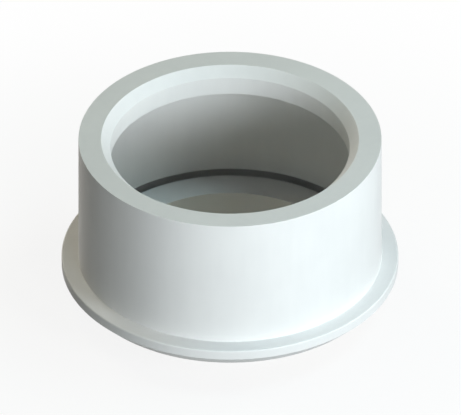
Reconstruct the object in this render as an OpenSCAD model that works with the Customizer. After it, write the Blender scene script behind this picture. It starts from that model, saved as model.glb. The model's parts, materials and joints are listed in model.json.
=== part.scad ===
// Stackable riser ring for the access shaft of a buried septic tank.
// One hollow plastic moulding with the same wall all through: a round body whose top turns in to a
// short collar, a flange that tapers in to a flat seat, a floor ring inside it, and a spigot that
// slides into the collar of the riser below. A channel runs round inside the flange.

/* [Body] */
// Outside diameter of the body
body_d = 613; // [560:1:900]
// Height of the body, from its top face to the flange's lower edge
body_h = 305; // [150:5:620]
// Thickness of every wall and plate
wall = 3; // [2:0.5:5]

/* [Collar] */
// Clear bore of the collar in the top
collar_d = 484; // [420:1:500]
// Depth of the collar from the top face to its lower lip
collar_h = 59; // [40:0.5:90]
// Height of the lead-in that slopes down into the collar's bore
lead_h = 20; // [8:0.5:30]
// Width of the lead-in around the bore
lead_w = 18.7; // [8:0.1:26]

/* [Flange] */
// How far the flange stands out from the body
flange_w = 34; // [26:1:60]
// Height of the flange's rim
flange_h = 20; // [14:1:40]
// Rounding of the flange's upper edge
flange_r = 3; // [2:0.5:8]
// Height and width of the 45 degree taper from the flange's lower edge in to the seat
taper = 26; // [12:1:32]

/* [Floor ring] */
// Height of the floor ring above the flange's lower edge
floor_up = 6.5; // [4:0.5:12]
// Radial gap between the floor ring and the body's wall above it
floor_gap = 8; // [4:1:20]

/* [Spigot] */
// How far the spigot reaches below the seat
spigot_h = 50; // [38:1:80]
// Radial gap between the spigot and the collar that it slides into
spigot_gap = 5; // [1:0.5:8]

/* [Edges] */
// Rounding of the body's top edge, the floor ring's edges and the seat's inner edge
edge_r = 0.5; // [0.5:0.5:2]
// Rounding of both edges of each free lip
lip_r = 0.5; // [0.5:0.1:1]
// Fillet where the body stands on the flange
root_r = 1; // [0.5:0.5:6]

/* [Hidden] */
$fn = 180;

// Heights, from the foot of the spigot up
seat_z = spigot_h;
rim_z = seat_z + taper;
floor_z = rim_z + floor_up;
flange_z = rim_z + flange_h;
roof_z = flange_z - wall;
top_z = rim_z + body_h;
collar_z = top_z - collar_h;

// Radii
body_r = body_d / 2;
chamber_r = body_r - wall;
collar_r = collar_d / 2;
mouth_r = collar_r + lead_w;
rim_r = body_r + flange_w;
rim_in_r = rim_r - wall;
seat_r = rim_r - taper;
floor_r = chamber_r - floor_gap;
drum_in_r = floor_r - wall;
spigot_out_r = collar_r - spigot_gap;
spigot_in_r = spigot_out_r - wall;

// The wall turns down by this angle at the mouth, and by the rest of a right angle at the bore
mouth_turn = atan(lead_h / lead_w);
// How far the back of the wall bends past its front: at the mouth, at the bore and at the taper
mouth_bend = wall * tan(mouth_turn / 2);
bore_bend = wall * tan((90 - mouth_turn) / 2);
taper_bend = wall * tan(22.5);
// How far a rounding's cut runs on past its corner
clear = 0.4;
// Rounding inside the flange, which keeps its wall even
flange_in_r = max(flange_r - wall, 0.5);

// The wall's outline in the radius and height plane. Its corners are sharp, apart from the two
// that take a fillet, which a straight line crosses from one end of the fillet to the other.
outline = [
    [mouth_r, top_z],
    [body_r, top_z],
    [body_r, flange_z + root_r],
    [body_r + root_r, flange_z],
    [rim_r, flange_z],
    [rim_r, rim_z],
    [seat_r, seat_z],
    [drum_in_r, seat_z],
    [drum_in_r, floor_z - wall],
    [spigot_out_r, floor_z - wall],
    [spigot_out_r, 0],
    [spigot_in_r, 0],
    [spigot_in_r, floor_z],
    [floor_r, floor_z],
    [floor_r, seat_z + wall],
    [seat_r - taper_bend, seat_z + wall],
    [rim_in_r, rim_z + taper_bend],
    [rim_in_r, roof_z - flange_in_r],
    [rim_in_r - flange_in_r, roof_z],
    [chamber_r, roof_z],
    [chamber_r, top_z - wall],
    [mouth_r + mouth_bend, top_z - wall],
    [collar_r + wall, top_z - lead_h - bore_bend],
    [collar_r + wall, collar_z],
    [collar_r, collar_z],
    [collar_r, top_z - lead_h],
];

// What a fillet leaves open: its whole circle, inside the two walls that meet at the corner.
// side points from the circle's centre to the corner, as [1 or -1, 1 or -1].
module fillet(at, r, side) {
    translate(at - r * side)
        circle(r);
}

// What a rounding takes off a sharp corner, and a little of the open space past it
module rounding(at, r, side) {
    past = at + clear * side;
    centre = at - r * side;
    difference() {
        translate([min(past.x, centre.x), min(past.y, centre.y)])
            square(r + clear);
        translate(centre)
            circle(r);
    }
}

// Both edges at the foot of a lip that hangs down
module lip_roundings(inner_r, z) {
    rounding([inner_r, z], lip_r, [-1, -1]);
    rounding([inner_r + wall, z], lip_r, [1, -1]);
}

module section() {
    difference() {
        polygon(outline);
        fillet([body_r, flange_z], root_r, [-1, -1]);
        fillet([rim_in_r, roof_z], flange_in_r, [1, 1]);
        rounding([body_r, top_z], edge_r, [1, 1]);
        rounding([rim_r, flange_z], flange_r, [1, 1]);
        rounding([drum_in_r, seat_z], edge_r, [-1, -1]);
        rounding([floor_r, floor_z], edge_r, [1, 1]);
        rounding([spigot_in_r, floor_z], edge_r, [-1, 1]);
        lip_roundings(collar_r, collar_z);
        lip_roundings(spigot_in_r, 0);
    }
}

module riser() {
    color("whitesmoke")
        rotate_extrude()
            section();
}

riser();
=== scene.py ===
import json
import math

import bmesh
import bpy
from mathutils import Matrix, Vector


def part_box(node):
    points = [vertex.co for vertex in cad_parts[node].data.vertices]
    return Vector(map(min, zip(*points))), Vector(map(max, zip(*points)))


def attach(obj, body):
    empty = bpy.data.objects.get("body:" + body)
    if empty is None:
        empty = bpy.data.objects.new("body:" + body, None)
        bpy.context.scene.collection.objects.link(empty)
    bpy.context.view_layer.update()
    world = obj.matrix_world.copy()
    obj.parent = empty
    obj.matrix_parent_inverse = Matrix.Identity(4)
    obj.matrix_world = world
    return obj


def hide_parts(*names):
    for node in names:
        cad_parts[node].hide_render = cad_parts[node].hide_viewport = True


# A stackable riser ring for the access shaft of a buried septic tank: one hollow plastic moulding,
# standing on white paper under soft lamps.

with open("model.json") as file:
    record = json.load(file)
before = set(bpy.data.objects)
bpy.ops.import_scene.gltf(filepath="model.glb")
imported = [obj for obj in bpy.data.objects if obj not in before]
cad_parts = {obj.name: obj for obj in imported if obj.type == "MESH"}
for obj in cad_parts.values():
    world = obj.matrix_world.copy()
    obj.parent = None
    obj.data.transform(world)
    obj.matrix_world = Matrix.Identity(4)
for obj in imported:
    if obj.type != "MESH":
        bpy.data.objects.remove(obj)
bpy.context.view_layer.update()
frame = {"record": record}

# ---------------------------------------------------------------- sizes of the moulding, in metres

low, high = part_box("riser")
mounts = {mount["name"]: mount for mount in frame["record"]["mounts"]}

WALL = 0.003
BODY_R = 0.3065
LEAD_H = 0.020
LEAD_W = 0.0187
COLLAR_H = 0.059
FLANGE_H = 0.020
TAPER = 0.026
FLOOR_UP = 0.0065
FLOOR_GAP = 0.008

FOOT_Z = low.z
SEAT_Z = mounts["seat"]["pos_m"][2]
RIM_Z = SEAT_Z + TAPER
FLOOR_Z = RIM_Z + FLOOR_UP
FLANGE_Z = RIM_Z + FLANGE_H
TOP_Z = high.z
RIM_R = high.x
SEAT_R = RIM_R - TAPER
FLOOR_R = BODY_R - WALL - FLOOR_GAP
COLLAR_R = mounts["collar"]["dims"]["r_mm"] / 1000
MOUTH_R = COLLAR_R + LEAD_W
SPIGOT_R = mounts["spigot"]["dims"]["r_mm"] / 1000

# Roundings of its corners. A crease is a corner that only just catches the light.
FLANGE_ROUND = 0.003
ROOT_ROUND = 0.001
EDGE_ROUND = 0.0005
CREASE = 0.0003

STEPS_AROUND = 300
STEPS_IN_LARGE_ROUND = 6
STEPS_IN_SMALL_ROUND = 3


# ---------------------------------------------------------------- the moulding's shape

def bend_of(turn):
    """How far the back of the wall lies past its front, where the wall turns by this angle."""
    return WALL * math.tan(turn / 2)


def section_corners():
    """The corners of the wall's section as radius, height and rounding, once round the wall."""
    mouth_turn = math.atan(LEAD_H / LEAD_W)
    mouth_bend = bend_of(mouth_turn)
    bore_bend = bend_of(math.pi / 2 - mouth_turn)
    taper_bend = bend_of(math.pi / 4)
    collar_z = TOP_Z - COLLAR_H
    return [
        (MOUTH_R, TOP_Z, CREASE),
        (BODY_R, TOP_Z, EDGE_ROUND),
        (BODY_R, FLANGE_Z, ROOT_ROUND),
        (RIM_R, FLANGE_Z, FLANGE_ROUND),
        (RIM_R, RIM_Z, CREASE),
        (SEAT_R, SEAT_Z, CREASE),
        (FLOOR_R - WALL, SEAT_Z, EDGE_ROUND),
        (FLOOR_R - WALL, FLOOR_Z - WALL, CREASE),
        (SPIGOT_R, FLOOR_Z - WALL, CREASE),
        (SPIGOT_R, FOOT_Z, EDGE_ROUND),
        (SPIGOT_R - WALL, FOOT_Z, EDGE_ROUND),
        (SPIGOT_R - WALL, FLOOR_Z, EDGE_ROUND),
        (FLOOR_R, FLOOR_Z, EDGE_ROUND),
        (FLOOR_R, SEAT_Z + WALL, CREASE),
        (SEAT_R - taper_bend, SEAT_Z + WALL, CREASE),
        (RIM_R - WALL, RIM_Z + taper_bend, CREASE),
        (RIM_R - WALL, FLANGE_Z - WALL, EDGE_ROUND),
        (BODY_R - WALL, FLANGE_Z - WALL, CREASE),
        (BODY_R - WALL, TOP_Z - WALL, CREASE),
        (MOUTH_R + mouth_bend, TOP_Z - WALL, CREASE),
        (COLLAR_R + WALL, TOP_Z - LEAD_H - bore_bend, CREASE),
        (COLLAR_R + WALL, collar_z, EDGE_ROUND),
        (COLLAR_R, collar_z, EDGE_ROUND),
        (COLLAR_R, TOP_Z - LEAD_H, CREASE),
    ]


def round_corners(bm, corners, verts):
    """Rounds the section's corners, the largest first."""
    for size in sorted({rounding for _, _, rounding in corners}, reverse=True):
        alike = [vert for vert, (_, _, rounding) in zip(verts, corners) if rounding == size]
        steps = STEPS_IN_LARGE_ROUND if size > ROOT_ROUND else STEPS_IN_SMALL_ROUND
        bmesh.ops.bevel(bm, geom=alike, offset=size, offset_type="OFFSET", affect="VERTICES",
                        segments=steps, profile=0.5, material=-1)


def linked(name, bm):
    """An object at the origin, made of the mesh in bm."""
    mesh = bpy.data.meshes.new(name)
    bm.to_mesh(mesh)
    bm.free()
    piece = bpy.data.objects.new(name, mesh)
    bpy.context.scene.collection.objects.link(piece)
    return piece


def ring_moulding(name):
    """The wall's section, rounded at every corner and spun once about the ring's axis."""
    bm = bmesh.new()
    corners = section_corners()
    verts = [bm.verts.new((radius, 0, height)) for radius, height, _ in corners]
    bm.faces.new(verts)
    round_corners(bm, corners, verts)
    bmesh.ops.delete(bm, geom=list(bm.faces), context="FACES_ONLY")
    bmesh.ops.spin(bm, geom=list(bm.verts) + list(bm.edges), cent=(0, 0, 0), axis=(0, 0, 1),
                   angle=math.tau, steps=STEPS_AROUND, use_merge=True)
    bmesh.ops.recalc_face_normals(bm, faces=list(bm.faces))
    for face in bm.faces:
        face.smooth = True
    ring = linked(name, bm)
    # The large faces keep their own shading, so that only the roundings turn the light
    shading = ring.modifiers.new("even_shading", "WEIGHTED_NORMAL")
    shading.weight = 100
    return ring


# ---------------------------------------------------------------- shader maths

class Value:
    """What comes out of a node's socket. Arithmetic on it adds Math nodes to the same finish."""

    def __init__(self, finish, socket):
        self.finish = finish
        self.socket = socket

    def maths(self, operation, *numbers):
        return self.finish.add("ShaderNodeMath", {"operation": operation}, dict(enumerate(numbers)))

    def __add__(self, other):
        return self.maths("ADD", self, other)

    def __radd__(self, other):
        return self.maths("ADD", other, self)

    def __sub__(self, other):
        return self.maths("SUBTRACT", self, other)

    def __rsub__(self, other):
        return self.maths("SUBTRACT", other, self)

    def __mul__(self, other):
        return self.maths("MULTIPLY", self, other)

    def __rmul__(self, other):
        return self.maths("MULTIPLY", other, self)

    def __pow__(self, other):
        return self.maths("POWER", self, other)

    def __rpow__(self, other):
        return self.maths("POWER", other, self)

    def at_least(self, other):
        return self.maths("MAXIMUM", self, other)

    def at_most(self, other):
        return self.maths("MINIMUM", self, other)

    def between(self, start, end):
        """0 up to start, 1 from end on, and a smooth rise from one to the other."""
        return self.finish.add("ShaderNodeMapRange", {"interpolation_type": "SMOOTHSTEP"},
                               {"Value": self, "From Min": start, "From Max": end})

    def beside(self, output):
        """Another output of the node that this value comes from."""
        return Value(self.finish, self.socket.node.outputs[output])


class Finish:
    """The nodes of a material or of the world."""

    def __init__(self, owner):
        owner.use_nodes = True
        self.owner = owner
        self.nodes = owner.node_tree.nodes
        self.links = owner.node_tree.links

    def add(self, kind, settings, inputs, output=0):
        """Adds a node with its settings, then its values or links, and gives one output of it."""
        node = self.nodes.new(kind)
        for setting, choice in settings.items():
            setattr(node, setting, choice)
        for socket, source in inputs.items():
            self.feed(node, socket, source)
        return Value(self, node.outputs[output])

    def feed(self, node, socket, source):
        """Links a value to a node's socket, or sets a constant on it."""
        if isinstance(source, Value):
            self.links.new(source.socket, node.inputs[socket])
        else:
            node.inputs[socket].default_value = source

    def noise(self, place, scale, detail):
        """Cloudy noise from 0 to 1, with about this many blotches to the metre."""
        return self.add("ShaderNodeTexNoise", {}, {"Vector": place, "Scale": scale, "Detail": detail})

    def bump(self, height, depth, strength, under=None):
        """Relief from a height of 0 to 1, this deep in metres, on top of the relief under it."""
        inputs = {"Strength": strength, "Distance": depth, "Height": height}
        if under:
            inputs["Normal"] = under
        return self.add("ShaderNodeBump", {}, inputs)

    def blend(self, share, first, second):
        """The first colour, with a share of the second mixed in."""
        return self.add("ShaderNodeMix", {"data_type": "RGBA"}, {0: share, 6: first, 7: second}, 2)

    def overlay(self, share, first, second):
        """The first shader, with a share of the second laid over it."""
        return self.add("ShaderNodeMixShader", {}, {0: share, 1: first, 2: second})


# ---------------------------------------------------------------- the plastic

PLASTIC = (0.785, 0.785, 0.78, 1)
PLASTIC_DEEP = (0.75, 0.75, 0.747, 1)
PLASTIC_RUBBED = (0.81, 0.81, 0.80, 1)
SATIN = 0.52

# How many blotches of each pattern there are to the metre
CLOUDS = 7
RIPPLES = 16
RUBBED_PATCHES = 38
FLOW_MARKS = 55
GRAIN = 1100

# The flow marks' fineness along X, Y and Z: low along Z, which draws them out upright
UPRIGHT_STRETCH = (1, 1, 0.12)

# Depths of the relief, and how far the rubbing reaches from an edge, in metres
GRAIN_DEPTH = 0.00015
RIPPLE_DEPTH = 0.0004
RUBBED_REACH = 0.005


def rubbed_edges(finish, place, radius, height):
    """1 on the corners that hands, ropes and the ground rub, and 0 a few millimetres from them."""
    gaps = []
    for edge_r, edge_z in ((MOUTH_R, TOP_Z), (BODY_R, TOP_Z), (RIM_R, FLANGE_Z), (RIM_R, RIM_Z)):
        across = radius - edge_r
        up = height - edge_z
        gaps.append((across * across + up * up) ** 0.5)
    nearest = gaps[0]
    for gap in gaps[1:]:
        nearest = nearest.at_most(gap)
    patches = finish.noise(place, RUBBED_PATCHES, 3).between(0.42, 0.62)
    return (1 - nearest.between(0, RUBBED_REACH)) * patches


def white_plastic():
    """Satin white plastic, as it comes from the mould: faint flow marks and a fine grain."""
    finish = Finish(bpy.data.materials.new("white_plastic"))
    place = finish.add("ShaderNodeTexCoord", {}, {}, "Object")
    flat_place = finish.add("ShaderNodeVectorMath", {"operation": "MULTIPLY"}, {0: place, 1: (1, 1, 0)})
    radius = finish.add("ShaderNodeVectorMath", {"operation": "LENGTH"}, {0: flat_place}, "Value")
    height = finish.add("ShaderNodeSeparateXYZ", {}, {"Vector": place}, "Z")

    clouds = finish.noise(place, CLOUDS, 3)
    upright = finish.add("ShaderNodeMapping", {}, {"Vector": place, "Scale": UPRIGHT_STRETCH})
    flow = finish.noise(upright, FLOW_MARKS, 2)
    grain = finish.noise(place, GRAIN, 2)
    ripple = finish.noise(place, RIPPLES, 1)
    rubbed = rubbed_edges(finish, place, radius, height)

    shell = finish.blend((clouds * 0.7 + flow * 0.3).between(0.3, 0.7), PLASTIC, PLASTIC_DEEP)
    colour = finish.blend(rubbed * 0.6, shell, PLASTIC_RUBBED)
    roughness = SATIN + clouds * 0.06 + flow * 0.05 + grain * 0.04 - rubbed * 0.10
    grained = finish.bump(grain, GRAIN_DEPTH, 0.6)
    relief = finish.bump(ripple + flow * 0.15, RIPPLE_DEPTH, 0.5, grained)

    shader = finish.nodes["Principled BSDF"]
    finish.feed(shader, "IOR", 1.5)
    finish.feed(shader, "Specular IOR Level", 0.35)
    finish.feed(shader, "Base Color", colour)
    finish.feed(shader, "Roughness", roughness)
    finish.feed(shader, "Normal", relief)
    return finish.owner


# ---------------------------------------------------------------- the ring

riser = ring_moulding("riser_moulding")
riser.data.materials.append(white_plastic())
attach(riser, "root")
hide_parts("riser")


# ---------------------------------------------------------------- paper and backdrop

WHITE = (1, 1, 1, 1)
PAPER_ROUGHNESS = 0.9
PAPER_HALF_SIDE = 12

# The paper's colour to the eye, and to the light that it throws back: around the ring, and up its
# shaft
PAPER = (0.9, 0.9, 0.9, 1)
PAPER_BOUNCE = (0.2, 0.2, 0.2, 1)
PAPER_IN_SHAFT = (0.98, 0.84, 0.64, 1)

# How much of the paper shows as plain white: less up to SHADOW_START from the ring's axis, so that
# the ring's shadow shows, and all of it from SHADOW_END out
WHITE_AT_RING = 0.86
SHADOW_START = 0.35
SHADOW_END = 1.2


def seen_directly(finish):
    """1 for what the camera sees, straight, in a gloss or through something clear, and 0 for light."""
    camera_ray = finish.add("ShaderNodeLightPath", {}, {}, "Is Camera Ray")
    glossy_ray = camera_ray.beside("Is Glossy Ray")
    clear_ray = camera_ray.beside("Is Transmission Ray")
    return camera_ray.at_least(glossy_ray).at_least(clear_ray)


def white_paper():
    """Matt white paper that shows as white all round and keeps the ring's soft shadow.

    It throws little light back up around the ring, so the taper under the flange stays in shade,
    and a warm light back up the shaft.
    """
    finish = Finish(bpy.data.materials.new("white_paper"))
    seen = seen_directly(finish)
    place = finish.add("ShaderNodeTexCoord", {}, {}, "Object")
    distance = finish.add("ShaderNodeVectorMath", {"operation": "LENGTH"}, {0: place}, "Value")
    bounce = finish.blend(distance.between(SPIGOT_R, RIM_R), PAPER_IN_SHAFT, PAPER_BOUNCE)
    shader = finish.nodes["Principled BSDF"]
    finish.feed(shader, "Base Color", finish.blend(seen, bounce, PAPER))
    finish.feed(shader, "Roughness", PAPER_ROUGHNESS)
    paper = Value(finish, shader.outputs[0])
    white = finish.add("ShaderNodeEmission", {}, {"Color": WHITE, "Strength": 1})
    share = WHITE_AT_RING + (1 - WHITE_AT_RING) * distance.between(SHADOW_START, SHADOW_END)
    surface = finish.overlay(share * seen, paper, white)
    finish.feed(finish.nodes["Material Output"], "Surface", surface)
    return finish.owner


def paper_floor():
    """A square sheet of paper that reaches well past the view on every side."""
    bm = bmesh.new()
    bmesh.ops.create_grid(bm, x_segments=1, y_segments=1, size=PAPER_HALF_SIDE)
    floor = linked("floor", bm)
    floor.data.materials.append(white_paper())


def studio_world():
    """A backdrop that shows as white and gives no light, so that the lamps alone light the ring."""
    world = bpy.data.worlds.new("studio")
    bpy.context.scene.world = world
    finish = Finish(world)
    unlit = finish.nodes["Background"]
    finish.feed(unlit, "Strength", 0)
    white = finish.add("ShaderNodeBackground", {}, {"Color": WHITE, "Strength": 1})
    surface = finish.overlay(seen_directly(finish), Value(finish, unlit.outputs[0]), white)
    finish.feed(finish.nodes["World Output"], "Surface", surface)


# ---------------------------------------------------------------- lamps and camera

LAMP_DISTANCE = 4.0
LAMP_AIM = Vector((0, 0, 0.22))

CAMERA_DISTANCE = 4.0
VIEW_WIDTH = 0.9318
VIEW_CENTRE = Vector((0.00095, 0, 0.2119))
ISOMETRIC = math.degrees(math.atan(1 / math.sqrt(2)))


def way_from(azimuth, elevation):
    """The direction from the ring to a lamp or camera, in degrees round from the front and up."""
    around = math.radians(azimuth)
    up = math.radians(elevation)
    return Vector((math.sin(around) * math.cos(up), -math.cos(around) * math.cos(up), math.sin(up)))


def place_at(name, data, target, way, distance):
    """A lamp or camera at a distance from target, looking back at it."""
    obj = bpy.data.objects.new(name, data)
    turn = way.to_track_quat("Z", "Y").to_matrix().to_4x4()
    obj.matrix_world = Matrix.Translation(target + way * distance) @ turn
    bpy.context.scene.collection.objects.link(obj)
    return obj


def soft_lamp(name, azimuth, elevation, width, watts, colour):
    """A round lamp with a wide, soft face."""
    data = bpy.data.lights.new(name, "AREA")
    data.shape = "DISK"
    data.size = width
    data.energy = watts
    data.color = colour
    place_at(name, data, LAMP_AIM, way_from(azimuth, elevation), LAMP_DISTANCE)


def view_camera():
    """A camera without perspective, in front of the ring and looking down on it."""
    data = bpy.data.cameras.new("camera")
    data.type = "ORTHO"
    data.ortho_scale = VIEW_WIDTH
    way = way_from(0, ISOMETRIC)
    bpy.context.scene.camera = place_at("camera", data, VIEW_CENTRE, way, CAMERA_DISTANCE)


paper_floor()
studio_world()
soft_lamp("key", 45, 20, 1.6, 83, (0.87, 0.95, 1))
soft_lamp("front", 15, 12, 1.6, 87, (0.94, 1, 1))
soft_lamp("sky", 90, 60, 1.6, 38, (0.68, 0.96, 1))
soft_lamp("right_back", 120, 20, 1.6, 43, (1, 0.97, 0.94))
soft_lamp("left_back", -120, 60, 1.6, 21, (1, 0.94, 0.64))
soft_lamp("back", -150, 8, 1.2, 62, (1, 0.95, 0.88))
view_camera()
bpy.context.scene.view_settings.view_transform = "Standard"
